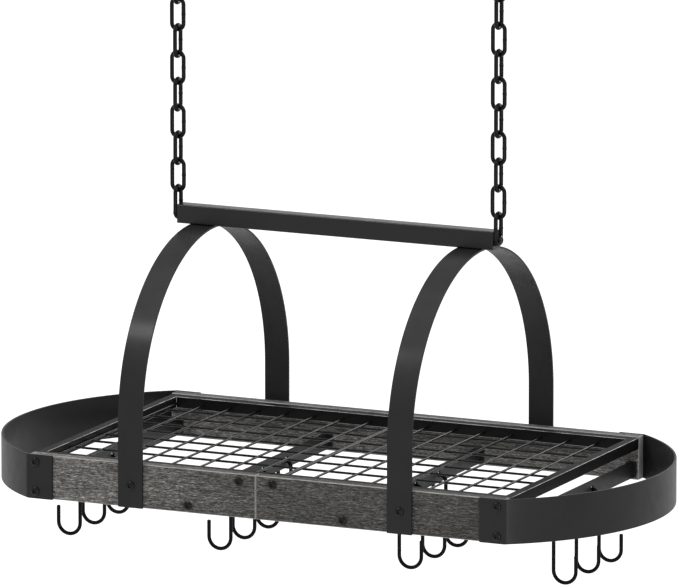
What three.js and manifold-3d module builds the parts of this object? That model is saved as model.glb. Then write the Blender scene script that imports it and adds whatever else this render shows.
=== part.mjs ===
// Hanging pot rack: two wooden side boards and two bowed steel end bands round a wire shelf,
// carried by two arched straps and a top bar on two chains, with S-hooks under the shelf.
// Millimetres. X runs along the boards, -Y is the front, +Z is up.
// The origin is on the ceiling, midway between the two ceiling hooks.
import * as THREE from "three";
import { mergeVertices } from "three/addons/utils/BufferGeometryUtils.js";
import Module from "manifold-3d";

const wasm = await Module();
wasm.setup();

// ---------------------------------------------------------------- driving dimensions
const SEAT = 0.3; // gap kept between pieces that touch
const CUT_PAST = 1; // how far a cutting shape reaches past the face it cuts
const STEEL = 3; // thickness of the bands, straps and crossbars

const RACK_WIDTH = 450; // over the steel, front to back
const BOARD_LENGTH = 677;
const BOARD_HEIGHT = 58;
const BOARD_THICKNESS = 15;
const BOARD_CHAMFER = 0.8;
const BOARD_SEAM_X = -13.4; // where the two halves of a side board meet

const BAND_HEIGHT = 58.6;
const BAND_BULGE = 118.5; // how far an end band bows out past the board ends
const TAB_LENGTH = 35; // flat end of a band on the face of a board
const TAB_BOLT_INSET = 10.3; // from the end of the board
const TAB_BOLT_DROP = 9.8; // upper tab bolt below the top of the board

const STRAP_WIDTH = 35;
const STRAP_SPACING = 382.4; // between the middles of the two arches
const ARCH_TOP = 334.4; // top of the arches above the bottom of the boards

const BAR_OVERHANG = 17.2; // past the outer edge of each strap
const BAR_DEPTH = 20;
const BAR_HEIGHT = 24.8;
const BAR_WALL = 2;
const PLUG_LENGTH = 14;

const RAIL_HEIGHT = 16; // the shelf frame is made of rectangular tube
const RAIL_WIDTH = 12.7;
const RAIL_WALL = 1.5;
const SHELF_DROP = 1.2; // top of the shelf frame below the top of the boards
const WIRE_DIAMETER = 3.2;
const CROSS_WIRE_PITCH = 40.8;
const LONG_WIRE_PITCH = 44.4;
const CROSS_WIRE_DEPTH = 9.6; // middle of the cross wires below the top of the shelf frame
const WIRE_STEP = 0.8; // the long wires lie this much lower, sunk into the cross wires
const CENTRE_WIRE_SPACING = 3.5; // the two half shelves' last wires, middle to middle
const WIRE_SINK = 0.3; // how deep the weld takes the outermost cross wire into the end rail

const CROSSBAR_HEIGHT = 22;
const CROSSBAR_BOTTOM = 3; // above the bottom of the boards
const CROSSBAR_OFFSET = 1.5; // its middle lies this far to the right of its bolts
const CROSSBAR_PLATE_WIDTH = 15;
const CROSSBAR_PLATE_RADIUS = 3;
const OUTER_CROSSBAR_X = 328.2; // of its bolts
const INNER_CROSSBAR_X = 109.8;
const LOW_BOLT_HEIGHT = 9.4; // crossbar bolts above the bottom of the boards
const SEAM_BOLT_OFFSET = 23.8; // shelf bolts to each side of the board seam
const SEAM_BOLT_DROP = 10.4; // below the top of the boards

const HOOK_ROD = 5;
const HOOK_SPACING = 73;
const HOOK_TOP_RADIUS = 9.1;
const HOOK_BOTTOM_RADIUS = 15.7;
const HOOK_LEG = 67.5; // straight stretch between the two bends
const HOOK_TOP_TIP = 7; // straight tip after the top bend
const HOOK_BOTTOM_TIP = 20; // straight tip after the bottom bend
const HOOK_HOLE_DIAMETER = 9;
const HOOK_SHIFT = 1.8; // the middle of a hook's top bend lies this far outward of its crossbar

const LINK_WIRE = 5.5;
const LINK_WIDTH = 22.3; // outside
const LINK_PITCH = 35.5;
const LINKS_PER_CHAIN = 9;

const BOLT_HEAD_DIAMETER = 12;
const BOLT_HEAD_HEIGHT = 2.6;
const BOLT_RIM_HEIGHT = 1.3; // straight side of the head below its domed top
const BOLT_TOP_DIAMETER = 9.6;
const BOLT_SHANK_DIAMETER = 6;
const BOLT_SOCKET = 4; // across the flats
const BOLT_SOCKET_DEPTH = 1.6;
const BOLT_DEPTH_IN_WOOD = 11;
const HOLE_CLEARANCE = 0.3; // round a shank, on the radius

const CEILING_ROD = 5;
const CEILING_HOOK_RADIUS = 9.5;
const CEILING_NECK = 7; // straight neck between the hook's bends and its flange
const CEILING_FLANGE_DIAMETER = 34;
const CEILING_FLANGE_THICKNESS = 4;
const CEILING_HOOK_TIP_ANGLE = 150; // degrees round the hook where its tip ends
const CEILING_SCREW_DIAMETER = 4.5; // two screws hold each flange
const CEILING_SCREW_SPACING = 22;

const SAME_VERTEX = 1e-4; // corners nearer than this are joined before a cut
const SAME_POINT = 1e-3; // points of a route nearer than this are one
const ROUND_SIDES = 6; // sides of a round wire or rod
const HOLE_SIDES = 10;
const BAND_STEPS = 22; // an arc gets twice as many straight stretches as its steps
const ARCH_STEPS = 36;
const BEND_STEPS = 6;

// ---------------------------------------------------------------- sizes that follow
const STEEL_FACE_Y = RACK_WIDTH / 2; // outer face of the bands and straps
const BOARD_FACE_Y = STEEL_FACE_Y - STEEL - SEAT;
const BOARD_INNER_Y = BOARD_FACE_Y - BOARD_THICKNESS;
const BOARD_END_X = BOARD_LENGTH / 2;
const BAND_BOTTOM = (BOARD_HEIGHT - BAND_HEIGHT) / 2;
const STRAP_X = STRAP_SPACING / 2;
const ARCH_CENTRE = ARCH_TOP - STEEL_FACE_Y;
const BAR_LENGTH = STRAP_SPACING + STRAP_WIDTH + 2 * BAR_OVERHANG;
const BAR_BOTTOM = ARCH_TOP + SEAT;
const BAR_MIDDLE = BAR_BOTTOM + BAR_HEIGHT / 2;
const SHELF_FACE_Y = BOARD_INNER_Y - SEAT;
const SHELF_END_X = BOARD_END_X - SEAT;
const SHELF_TOP = BOARD_HEIGHT - SHELF_DROP;
const HOOK_HOLE_HEIGHT = CROSSBAR_BOTTOM + CROSSBAR_HEIGHT / 2;
const BOLT_HOLE_RADIUS = BOLT_SHANK_DIAMETER / 2 + HOLE_CLEARANCE;
const CHAIN_X = BAR_LENGTH / 2 + SEAT + LINK_WIRE / 2;
const LINK_INNER_LENGTH = LINK_PITCH + SEAT;
const FIRST_LINK_HEIGHT = BAR_MIDDLE - BOLT_SHANK_DIAMETER / 2 - SEAT + LINK_INNER_LENGTH / 2;
const LAST_LINK_HEIGHT = FIRST_LINK_HEIGHT + (LINKS_PER_CHAIN - 1) * LINK_PITCH;
const CEILING_ROD_HEIGHT = LAST_LINK_HEIGHT + LINK_INNER_LENGTH / 2 - SEAT - CEILING_ROD / 2;
const CEILING_RING_HEIGHT = CEILING_ROD_HEIGHT + CEILING_HOOK_RADIUS;
const CEILING_HEIGHT =
  CEILING_RING_HEIGHT + 2 * CEILING_HOOK_RADIUS + CEILING_NECK + CEILING_FLANGE_THICKNESS;

// ---------------------------------------------------------------- materials
const blackSteel = new THREE.MeshStandardMaterial({
  color: 0x2e2e30,
  roughness: 0.6,
  metalness: 0.5,
});
const greyWood = new THREE.MeshStandardMaterial({
  color: 0x6b6762,
  roughness: 0.85,
  metalness: 0,
});

// ---------------------------------------------------------------- solids
function toSolid(geometry) {
  const bare = geometry.clone();
  bare.deleteAttribute("normal");
  bare.deleteAttribute("uv");
  const merged = mergeVertices(bare, SAME_VERTEX);
  return new wasm.Manifold(
    new wasm.Mesh({
      numProp: 3,
      vertProperties: new Float32Array(merged.attributes.position.array),
      triVerts: new Uint32Array(merged.index.array),
    }),
  );
}

function toGeometry(solid) {
  const { vertProperties, triVerts, numProp } = solid.getMesh();
  const positions = new Float32Array((vertProperties.length / numProp) * 3);
  for (let i = 0; i < positions.length / 3; i++) {
    positions.set(vertProperties.subarray(i * numProp, i * numProp + 3), i * 3);
  }
  const geometry = new THREE.BufferGeometry();
  geometry.setAttribute("position", new THREE.BufferAttribute(positions, 3));
  geometry.setIndex(new THREE.BufferAttribute(triVerts, 1));
  geometry.computeVertexNormals();
  return geometry;
}

// A box between two corners.
function boxSolid(low, high) {
  const size = high.map((value, axis) => value - low[axis]);
  const middle = high.map((value, axis) => (value + low[axis]) / 2);
  return toSolid(new THREE.BoxGeometry(...size).translate(...middle));
}

// A cylinder from one point to another along X, Y or Z.
function rodSolid(from, to, radius, sides) {
  const start = new THREE.Vector3(...from);
  const along = new THREE.Vector3(...to).sub(start);
  const turn = new THREE.Quaternion().setFromUnitVectors(
    new THREE.Vector3(0, 1, 0),
    along.clone().normalize(),
  );
  const middle = start.addScaledVector(along, 0.5);
  const rod = new THREE.CylinderGeometry(radius, radius, along.length(), sides);
  return toSolid(rod.applyQuaternion(turn).translate(middle.x, middle.y, middle.z));
}

// Outlines are drawn flat and pushed out along Z, X or Y.
function pushedAlongZ(outline, from, to, steps) {
  const options = { depth: to - from, bevelEnabled: false, curveSegments: steps };
  return new THREE.ExtrudeGeometry(outline, options).translate(0, 0, from);
}

function pushedAlongX(outline, from, to, steps) {
  const turn = new THREE.Matrix4().makeBasis(
    new THREE.Vector3(0, 1, 0),
    new THREE.Vector3(0, 0, 1),
    new THREE.Vector3(1, 0, 0),
  );
  return pushedAlongZ(outline, from, to, steps).applyMatrix4(turn);
}

function pushedAlongY(outline, from, to, steps) {
  const turn = new THREE.Matrix4().makeBasis(
    new THREE.Vector3(1, 0, 0),
    new THREE.Vector3(0, 0, 1),
    new THREE.Vector3(0, -1, 0),
  );
  return pushedAlongZ(outline, -to, -from, steps).applyMatrix4(turn);
}

// A round bar of the given radius along a flat route, drawn in X and Z.
function roundBar(route, radius, closed) {
  const points = route.getPoints(BEND_STEPS).filter((point, i, all) => {
    const before = i > 0 || closed ? all.at(i - 1) : null;
    return !before || point.distanceTo(before) > SAME_POINT;
  });
  const count = points.length;
  const positions = [];
  const faces = [];
  const wrap = (i) => (i + count) % count;
  for (let i = 0; i < count; i++) {
    const before = points[closed ? wrap(i - 1) : Math.max(i - 1, 0)];
    const after = points[closed ? wrap(i + 1) : Math.min(i + 1, count - 1)];
    const into = points[i].clone().sub(before).normalize();
    const out = after.clone().sub(points[i]).normalize();
    const along = into.clone().add(out).normalize();
    const stretch = 1 / (out.lengthSq() ? along.dot(out) : 1);
    for (let side = 0; side < ROUND_SIDES; side++) {
      const angle = (side / ROUND_SIDES) * 2 * Math.PI;
      const across = Math.cos(angle) * radius * stretch;
      positions.push(points[i].x - along.y * across);
      positions.push(-Math.sin(angle) * radius);
      positions.push(points[i].y + along.x * across);
    }
  }
  const spans = closed ? count : count - 1;
  for (let i = 0; i < spans; i++) {
    for (let side = 0; side < ROUND_SIDES; side++) {
      const next = (side + 1) % ROUND_SIDES;
      const a = i * ROUND_SIDES + side;
      const b = i * ROUND_SIDES + next;
      const c = wrap(i + 1) * ROUND_SIDES + side;
      const d = wrap(i + 1) * ROUND_SIDES + next;
      faces.push(a, b, c, b, d, c);
    }
  }
  if (!closed) {
    const last = (count - 1) * ROUND_SIDES;
    for (let side = 1; side < ROUND_SIDES - 1; side++) {
      faces.push(0, side + 1, side);
      faces.push(last, last + side, last + side + 1);
    }
  }
  const geometry = new THREE.BufferGeometry();
  geometry.setAttribute("position", new THREE.Float32BufferAttribute(positions, 3));
  geometry.setIndex(faces);
  return geometry;
}

// ---------------------------------------------------------------- wooden boards
// Every bolt through a side board: its place along the board, its height and whether it goes
// right through the wood.
function boardBolts() {
  const tabX = BOARD_END_X - TAB_BOLT_INSET;
  const shelfHeight = BOARD_HEIGHT - SEAM_BOLT_DROP;
  const bolts = [];
  for (const side of [-1, 1]) {
    bolts.push({ x: side * tabX, z: BOARD_HEIGHT - TAB_BOLT_DROP, through: false });
    bolts.push({ x: side * OUTER_CROSSBAR_X, z: LOW_BOLT_HEIGHT, through: true });
    bolts.push({ x: side * INNER_CROSSBAR_X, z: LOW_BOLT_HEIGHT, through: true });
    bolts.push({ x: side * STRAP_X, z: BOARD_HEIGHT / 2, through: false });
    bolts.push({ x: BOARD_SEAM_X + side * SEAM_BOLT_OFFSET, z: shelfHeight, through: true });
  }
  return bolts;
}

// A half board on the front (-1) or back (1), from one X to another.
function boardGeometry(face, fromX, toX) {
  const inner = BOARD_INNER_Y;
  const outer = BOARD_FACE_Y;
  const cut = BOARD_CHAMFER;
  const outline = new THREE.Shape();
  outline.moveTo(face * inner, cut);
  outline.lineTo(face * (inner + cut), 0);
  outline.lineTo(face * (outer - cut), 0);
  outline.lineTo(face * outer, cut);
  outline.lineTo(face * outer, BOARD_HEIGHT - cut);
  outline.lineTo(face * (outer - cut), BOARD_HEIGHT);
  outline.lineTo(face * (inner + cut), BOARD_HEIGHT);
  outline.lineTo(face * inner, BOARD_HEIGHT - cut);
  outline.closePath();
  let board = toSolid(pushedAlongX(outline, fromX, toX, 1));
  // The front edges at each end are eased like the long edges.
  for (const [endX, way] of [
    [fromX, 1],
    [toX, -1],
  ]) {
    const wedge = new THREE.Shape();
    wedge.moveTo(endX - way * CUT_PAST, face * (outer + CUT_PAST));
    wedge.lineTo(endX + way * cut, face * (outer + CUT_PAST));
    wedge.lineTo(endX + way * cut, face * outer);
    wedge.lineTo(endX, face * (outer - cut));
    wedge.lineTo(endX - way * CUT_PAST, face * (outer - cut));
    wedge.closePath();
    const cutter = pushedAlongZ(wedge, -CUT_PAST, BOARD_HEIGHT + CUT_PAST, 1);
    board = board.subtract(toSolid(cutter));
  }
  for (const { x, z, through } of boardBolts()) {
    if (x < fromX || x > toX) continue;
    const deep = through ? inner - CUT_PAST : outer - BOLT_DEPTH_IN_WOOD - SEAT;
    const from = [x, face * (outer + CUT_PAST), z];
    const to = [x, face * deep, z];
    board = board.subtract(rodSolid(from, to, BOLT_HOLE_RADIUS, HOLE_SIDES));
  }
  return toGeometry(board);
}

// ---------------------------------------------------------------- bowed end bands
// A flat strip whose ends lie on the outer faces of the boards and whose middle is an arc.
function endBandGeometry(side) {
  const outlineSide = (offset) => {
    const halfWidth = STEEL_FACE_Y - offset;
    const bulge = BAND_BULGE - offset;
    const radius = (halfWidth ** 2 + bulge ** 2) / (2 * bulge);
    const half = Math.asin(halfWidth / radius);
    return { halfWidth, radius, half, centre: BOARD_END_X + bulge - radius };
  };
  const outer = outlineSide(0);
  const inner = outlineSide(STEEL);
  const outline = new THREE.Shape();
  const tabX = BOARD_END_X - TAB_LENGTH;
  outline.moveTo(tabX, -outer.halfWidth);
  outline.lineTo(BOARD_END_X, -outer.halfWidth);
  outline.absarc(outer.centre, 0, outer.radius, -outer.half, outer.half, false);
  outline.lineTo(tabX, outer.halfWidth);
  outline.lineTo(tabX, inner.halfWidth);
  outline.lineTo(BOARD_END_X, inner.halfWidth);
  outline.absarc(inner.centre, 0, inner.radius, inner.half, -inner.half, true);
  outline.lineTo(tabX, -inner.halfWidth);
  outline.closePath();
  let band = toSolid(pushedAlongZ(outline, BAND_BOTTOM, BAND_BOTTOM + BAND_HEIGHT, BAND_STEPS));
  const boltHeights = [BOARD_HEIGHT - TAB_BOLT_DROP, LOW_BOLT_HEIGHT];
  for (const face of [-1, 1]) {
    boltHeights.forEach((z, low) => {
      const x = low ? OUTER_CROSSBAR_X : BOARD_END_X - TAB_BOLT_INSET;
      const from = [x, face * (STEEL_FACE_Y + CUT_PAST), z];
      const to = [x, face * (STEEL_FACE_Y - STEEL - CUT_PAST), z];
      band = band.subtract(rodSolid(from, to, BOLT_HOLE_RADIUS, HOLE_SIDES));
    });
  }
  if (side < 0) band = band.rotate([0, 0, 180]);
  return toGeometry(band);
}

// ---------------------------------------------------------------- arched straps
function archStrapGeometry(middleX) {
  const outline = new THREE.Shape();
  const outer = STEEL_FACE_Y;
  const inner = STEEL_FACE_Y - STEEL;
  outline.moveTo(outer, BAND_BOTTOM);
  outline.lineTo(outer, ARCH_CENTRE);
  outline.absarc(0, ARCH_CENTRE, outer, 0, Math.PI, false);
  outline.lineTo(-outer, BAND_BOTTOM);
  outline.lineTo(-inner, BAND_BOTTOM);
  outline.lineTo(-inner, ARCH_CENTRE);
  outline.absarc(0, ARCH_CENTRE, inner, Math.PI, 0, true);
  outline.lineTo(inner, BAND_BOTTOM);
  outline.closePath();
  const fromX = middleX - STRAP_WIDTH / 2;
  const toX = middleX + STRAP_WIDTH / 2;
  const strap = toSolid(pushedAlongX(outline, fromX, toX, ARCH_STEPS));
  const height = BOARD_HEIGHT / 2;
  const from = [middleX, -outer - CUT_PAST, height];
  const to = [middleX, outer + CUT_PAST, height];
  return toGeometry(strap.subtract(rodSolid(from, to, BOLT_HOLE_RADIUS, HOLE_SIDES)));
}

// ---------------------------------------------------------------- top bar and its end plugs
function topBarGeometry() {
  const half = BAR_LENGTH / 2;
  const top = BAR_BOTTOM + BAR_HEIGHT;
  const depth = BAR_DEPTH / 2;
  const tube = boxSolid([-half, -depth, BAR_BOTTOM], [half, depth, top]);
  const bore = boxSolid(
    [-half - CUT_PAST, -depth + BAR_WALL, BAR_BOTTOM + BAR_WALL],
    [half + CUT_PAST, depth - BAR_WALL, top - BAR_WALL],
  );
  return toGeometry(tube.subtract(bore));
}

function barPlugGeometry(side) {
  const end = BAR_LENGTH / 2;
  const depth = BAR_DEPTH / 2 - BAR_WALL - SEAT;
  const height = BAR_HEIGHT / 2 - BAR_WALL - SEAT;
  const outerX = side * end;
  const innerX = side * (end - PLUG_LENGTH);
  const plug = boxSolid(
    [Math.min(outerX, innerX), -depth, BAR_MIDDLE - height],
    [Math.max(outerX, innerX), depth, BAR_MIDDLE + height],
  );
  const from = [side * (end + CUT_PAST), 0, BAR_MIDDLE];
  const to = [side * (end - PLUG_LENGTH - CUT_PAST), 0, BAR_MIDDLE];
  return toGeometry(plug.subtract(rodSolid(from, to, BOLT_HOLE_RADIUS, HOLE_SIDES)));
}

// ---------------------------------------------------------------- half shelves
// A frame of rectangular tube on three sides, open at the seam, and a welded grid of wires
// between its inner walls.
function halfShelfGeometry(side) {
  const seam = CENTRE_WIRE_SPACING / 2;
  const end = SHELF_END_X;
  const face = SHELF_FACE_Y;
  const bottom = SHELF_TOP - RAIL_HEIGHT;
  const innerEnd = end - RAIL_WIDTH;
  const innerFace = face - RAIL_WIDTH;
  const frameStart = seam + WIRE_DIAMETER / 2;
  const cutStart = frameStart - CUT_PAST;
  const outside = boxSolid([frameStart, -face, bottom], [end, face, SHELF_TOP]);
  const opening = boxSolid(
    [cutStart, -innerFace, bottom - CUT_PAST],
    [innerEnd, innerFace, SHELF_TOP + CUT_PAST],
  );
  const withinOuterWall = boxSolid(
    [cutStart, -face + RAIL_WALL, bottom + RAIL_WALL],
    [end - RAIL_WALL, face - RAIL_WALL, SHELF_TOP - RAIL_WALL],
  );
  const toInnerWall = boxSolid(
    [cutStart - CUT_PAST, -innerFace - RAIL_WALL, bottom],
    [innerEnd + RAIL_WALL, innerFace + RAIL_WALL, SHELF_TOP],
  );
  const bore = withinOuterWall.subtract(toInnerWall);
  const pieces = [outside.subtract(opening).subtract(bore)];
  const radius = WIRE_DIAMETER / 2;
  const crossHeight = SHELF_TOP - CROSS_WIRE_DEPTH;
  const longHeight = crossHeight - WIRE_STEP;
  const reach = innerFace + RAIL_WALL / 2;
  const lastCross = innerEnd - radius + WIRE_SINK;
  const crossWires = [lastCross];
  for (let x = 0; x < lastCross - CROSS_WIRE_PITCH / 2; x += CROSS_WIRE_PITCH) {
    crossWires.push(Math.max(x, seam));
  }
  for (const x of crossWires) {
    const from = [x, -reach, crossHeight];
    pieces.push(rodSolid(from, [x, reach, crossHeight], radius, ROUND_SIDES));
  }
  for (let y = LONG_WIRE_PITCH / 2; y < innerFace; y += LONG_WIRE_PITCH) {
    for (const wireY of [-y, y]) {
      const from = [seam, wireY, longHeight];
      const to = [innerEnd + RAIL_WALL / 2, wireY, longHeight];
      pieces.push(rodSolid(from, to, radius, ROUND_SIDES));
    }
  }
  let shelf = wasm.Manifold.union(pieces);
  const boltHeight = BOARD_HEIGHT - SEAM_BOLT_DROP;
  const boltX = side * (BOARD_SEAM_X + side * SEAM_BOLT_OFFSET);
  for (const way of [-1, 1]) {
    const from = [boltX, way * (face + CUT_PAST), boltHeight];
    const to = [boltX, way * (face - RAIL_WALL - CUT_PAST), boltHeight];
    shelf = shelf.subtract(rodSolid(from, to, BOLT_HOLE_RADIUS, HOLE_SIDES));
  }
  if (side < 0) shelf = shelf.mirror([1, 0, 0]);
  return toGeometry(shelf);
}

// ---------------------------------------------------------------- crossbars
// A flat bar on edge with a small plate across each end and a hole for each hook. The plates'
// middles and the bolts are at x.
function crossbarGeometry(x) {
  const bottom = CROSSBAR_BOTTOM;
  const top = bottom + CROSSBAR_HEIGHT;
  const end = BOARD_INNER_Y - SEAT;
  const half = STEEL / 2;
  const barX = x + CROSSBAR_OFFSET;
  const bar = boxSolid([barX - half, -end + half, bottom], [barX + half, end - half, top]);
  const plate = roundedRectangle(x, bottom, CROSSBAR_PLATE_WIDTH, CROSSBAR_HEIGHT);
  const pieces = [bar];
  for (const face of [-1, 1]) {
    const near = face * (end - STEEL);
    const far = face * end;
    const solid = pushedAlongY(plate, Math.min(near, far), Math.max(near, far), 2);
    pieces.push(toSolid(solid));
  }
  let crossbar = wasm.Manifold.union(pieces);
  for (const face of [-1, 1]) {
    const from = [x, face * (end + CUT_PAST), LOW_BOLT_HEIGHT];
    const to = [x, face * (end - STEEL - SEAT), LOW_BOLT_HEIGHT];
    crossbar = crossbar.subtract(rodSolid(from, to, BOLT_HOLE_RADIUS, HOLE_SIDES));
  }
  for (const y of hookPlaces()) {
    const from = [barX - STEEL, y, HOOK_HOLE_HEIGHT];
    const to = [barX + STEEL, y, HOOK_HOLE_HEIGHT];
    crossbar = crossbar.subtract(rodSolid(from, to, HOOK_HOLE_DIAMETER / 2, 2 * HOLE_SIDES));
  }
  return toGeometry(crossbar);
}

function roundedRectangle(middleX, bottom, width, height) {
  const left = middleX - width / 2;
  const right = middleX + width / 2;
  const top = bottom + height;
  const round = CROSSBAR_PLATE_RADIUS;
  const outline = new THREE.Shape();
  outline.moveTo(left + round, bottom);
  outline.absarc(right - round, bottom + round, round, -Math.PI / 2, 0, false);
  outline.absarc(right - round, top - round, round, 0, Math.PI / 2, false);
  outline.absarc(left + round, top - round, round, Math.PI / 2, Math.PI, false);
  outline.absarc(left + round, bottom + round, round, Math.PI, 1.5 * Math.PI, false);
  return outline;
}

// ---------------------------------------------------------------- S-hooks
function hookPlaces() {
  return [-HOOK_SPACING, 0, HOOK_SPACING];
}

// The height of the middle of a hook's top bend. The inside of the bend rests on the lower
// edge of its hole, on the side of the crossbar that is further from the middle.
function hookMiddleHeight() {
  const inside = HOOK_TOP_RADIUS - HOOK_ROD / 2;
  const away = HOOK_SHIFT + STEEL / 2;
  const holeBottom = HOOK_HOLE_HEIGHT - HOOK_HOLE_DIAMETER / 2;
  return holeBottom + SEAT - Math.sqrt(inside ** 2 - away ** 2);
}

// An S-hook in X and Z, its top bend's middle at the origin. The long leg is on the side of
// the bottom bend's inner end: side 1 puts it at +X of the top bend, -1 at -X.
function potHookGeometry(side) {
  const top = HOOK_TOP_RADIUS;
  const bottom = HOOK_BOTTOM_RADIUS;
  const right = new THREE.Path();
  right.moveTo(-top, -HOOK_TOP_TIP);
  right.lineTo(-top, 0);
  right.absarc(0, 0, top, Math.PI, 0, true);
  right.lineTo(top, -HOOK_LEG);
  right.absarc(top + bottom, -HOOK_LEG, bottom, Math.PI, 2 * Math.PI, false);
  right.lineTo(top + 2 * bottom, -HOOK_LEG + HOOK_BOTTOM_TIP);
  const geometry = roundBar(right, HOOK_ROD / 2, false);
  return side > 0 ? geometry : geometry.rotateZ(Math.PI);
}

// ---------------------------------------------------------------- chain links
function chainLinkGeometry() {
  const radius = (LINK_WIDTH - LINK_WIRE) / 2;
  const straight = (LINK_INNER_LENGTH + LINK_WIRE) / 2 - radius;
  const route = new THREE.Path();
  route.moveTo(radius, -straight);
  route.lineTo(radius, straight);
  route.absarc(0, straight, radius, 0, Math.PI, false);
  route.lineTo(-radius, -straight);
  route.absarc(0, -straight, radius, Math.PI, 2 * Math.PI, false);
  return roundBar(route, LINK_WIRE / 2, true);
}

// ---------------------------------------------------------------- bolts
// A flat button-headed bolt with a hexagon socket. The seat of its head is at the origin and
// its shank runs down -Z.
function boltGeometry(shankLength) {
  const head = BOLT_HEAD_DIAMETER / 2;
  const shank = BOLT_SHANK_DIAMETER / 2;
  const profile = [
    [0, -shankLength],
    [shank, -shankLength],
    [shank, 0],
    [head, 0],
    [head, BOLT_RIM_HEIGHT],
    [BOLT_TOP_DIAMETER / 2, BOLT_HEAD_HEIGHT],
    [0, BOLT_HEAD_HEIGHT],
  ].map(([radius, z]) => new THREE.Vector2(radius, z));
  const turned = new THREE.LatheGeometry(profile, 2 * HOLE_SIDES).rotateX(Math.PI / 2);
  const socketRadius = BOLT_SOCKET / Math.sqrt(3);
  const from = [0, 0, BOLT_HEAD_HEIGHT - BOLT_SOCKET_DEPTH];
  const socket = rodSolid(from, [0, 0, BOLT_HEAD_HEIGHT + CUT_PAST], socketRadius, 6);
  return toGeometry(toSolid(turned).subtract(socket));
}

// ---------------------------------------------------------------- ceiling hooks
// A question-mark hook in X and Z under a round flange whose top face lies on the ceiling.
function ceilingHookGeometry() {
  const radius = CEILING_HOOK_RADIUS;
  const ring = CEILING_RING_HEIGHT - CEILING_HEIGHT;
  const tip = (CEILING_HOOK_TIP_ANGLE * Math.PI) / 180;
  // The rod leaves the ring at its side and turns back to the middle above it.
  const bend = radius / 2;
  const route = new THREE.Path();
  route.moveTo(0, -CEILING_FLANGE_THICKNESS / 2);
  route.lineTo(0, ring + radius + bend);
  route.absarc(bend, ring + radius + bend, bend, Math.PI, 1.5 * Math.PI, false);
  route.absarc(bend, ring + radius - bend, bend, Math.PI / 2, 0, true);
  route.absarc(0, ring, radius, 0, tip - 2 * Math.PI, true);
  const rod = toSolid(roundBar(route, CEILING_ROD / 2, false));
  const flange = rodSolid(
    [0, 0, -CEILING_FLANGE_THICKNESS],
    [0, 0, 0],
    CEILING_FLANGE_DIAMETER / 2,
    3 * HOLE_SIDES,
  );
  let hook = rod.add(flange);
  for (const way of [-1, 1]) {
    const y = (way * CEILING_SCREW_SPACING) / 2;
    const from = [0, y, -CEILING_FLANGE_THICKNESS - CUT_PAST];
    const to = [0, y, CUT_PAST];
    hook = hook.subtract(rodSolid(from, to, CEILING_SCREW_DIAMETER / 2, HOLE_SIDES));
  }
  return toGeometry(hook);
}

// ---------------------------------------------------------------- assembly
const part = new THREE.Group();
part.name = "hanging_pot_rack";
const rack = new THREE.Group(); // heights in it are above the bottom of the boards
rack.position.z = -CEILING_HEIGHT;
part.add(rack);

function place(name, geometry, material, position = [0, 0, 0], rotation = [0, 0, 0]) {
  const mesh = new THREE.Mesh(geometry, material);
  mesh.name = name;
  mesh.position.set(...position);
  mesh.rotation.set(...rotation);
  rack.add(mesh);
  return mesh;
}

const faces = [
  ["front", -1],
  ["back", 1],
];
const sides = [
  ["left", -1],
  ["right", 1],
];

for (const [faceName, face] of faces) {
  const seamGap = SEAT / 2;
  const left = boardGeometry(face, -BOARD_END_X, BOARD_SEAM_X - seamGap);
  const right = boardGeometry(face, BOARD_SEAM_X + seamGap, BOARD_END_X);
  place(`board_${faceName}_left`, left, greyWood);
  place(`board_${faceName}_right`, right, greyWood);
}

for (const [sideName, side] of sides) {
  place(`end_band_${sideName}`, endBandGeometry(side), blackSteel);
  place(`arch_strap_${sideName}`, archStrapGeometry(side * STRAP_X), blackSteel);
  place(`bar_plug_${sideName}`, barPlugGeometry(side), blackSteel);
  place(`shelf_half_${sideName}`, halfShelfGeometry(side), blackSteel);
}
place("top_bar", topBarGeometry(), blackSteel);

const crossbars = [-OUTER_CROSSBAR_X, -INNER_CROSSBAR_X, INNER_CROSSBAR_X, OUTER_CROSSBAR_X];
crossbars.forEach((x, bar) => {
  place(`crossbar_${bar + 1}`, crossbarGeometry(x), blackSteel);
  const side = Math.sign(x);
  const hookX = x + CROSSBAR_OFFSET + side * HOOK_SHIFT;
  hookPlaces().forEach((y, hook) => {
    const name = `pot_hook_${bar + 1}_${hook + 1}`;
    place(name, potHookGeometry(side), blackSteel, [hookX, y, hookMiddleHeight()]);
  });
});

// Bolts through the straps stop inside the wood; bolts to the crossbars end in their plates.
const strapBolt = boltGeometry(STEEL + SEAT + BOLT_DEPTH_IN_WOOD + SEAT);
const crossbarBolt = boltGeometry(BOARD_THICKNESS + SEAT + STEEL + SEAT);
for (const [faceName, face] of faces) {
  const turn = [(-face * Math.PI) / 2, 0, 0];
  for (const [sideName, side] of sides) {
    const strapSeat = [side * STRAP_X, face * (STEEL_FACE_Y + SEAT), BOARD_HEIGHT / 2];
    place(`strap_bolt_${faceName}_${sideName}`, strapBolt, blackSteel, strapSeat, turn);
    const barSeat = [side * INNER_CROSSBAR_X, face * (BOARD_FACE_Y + SEAT), LOW_BOLT_HEIGHT];
    place(`crossbar_bolt_${faceName}_${sideName}`, crossbarBolt, blackSteel, barSeat, turn);
  }
}

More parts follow.
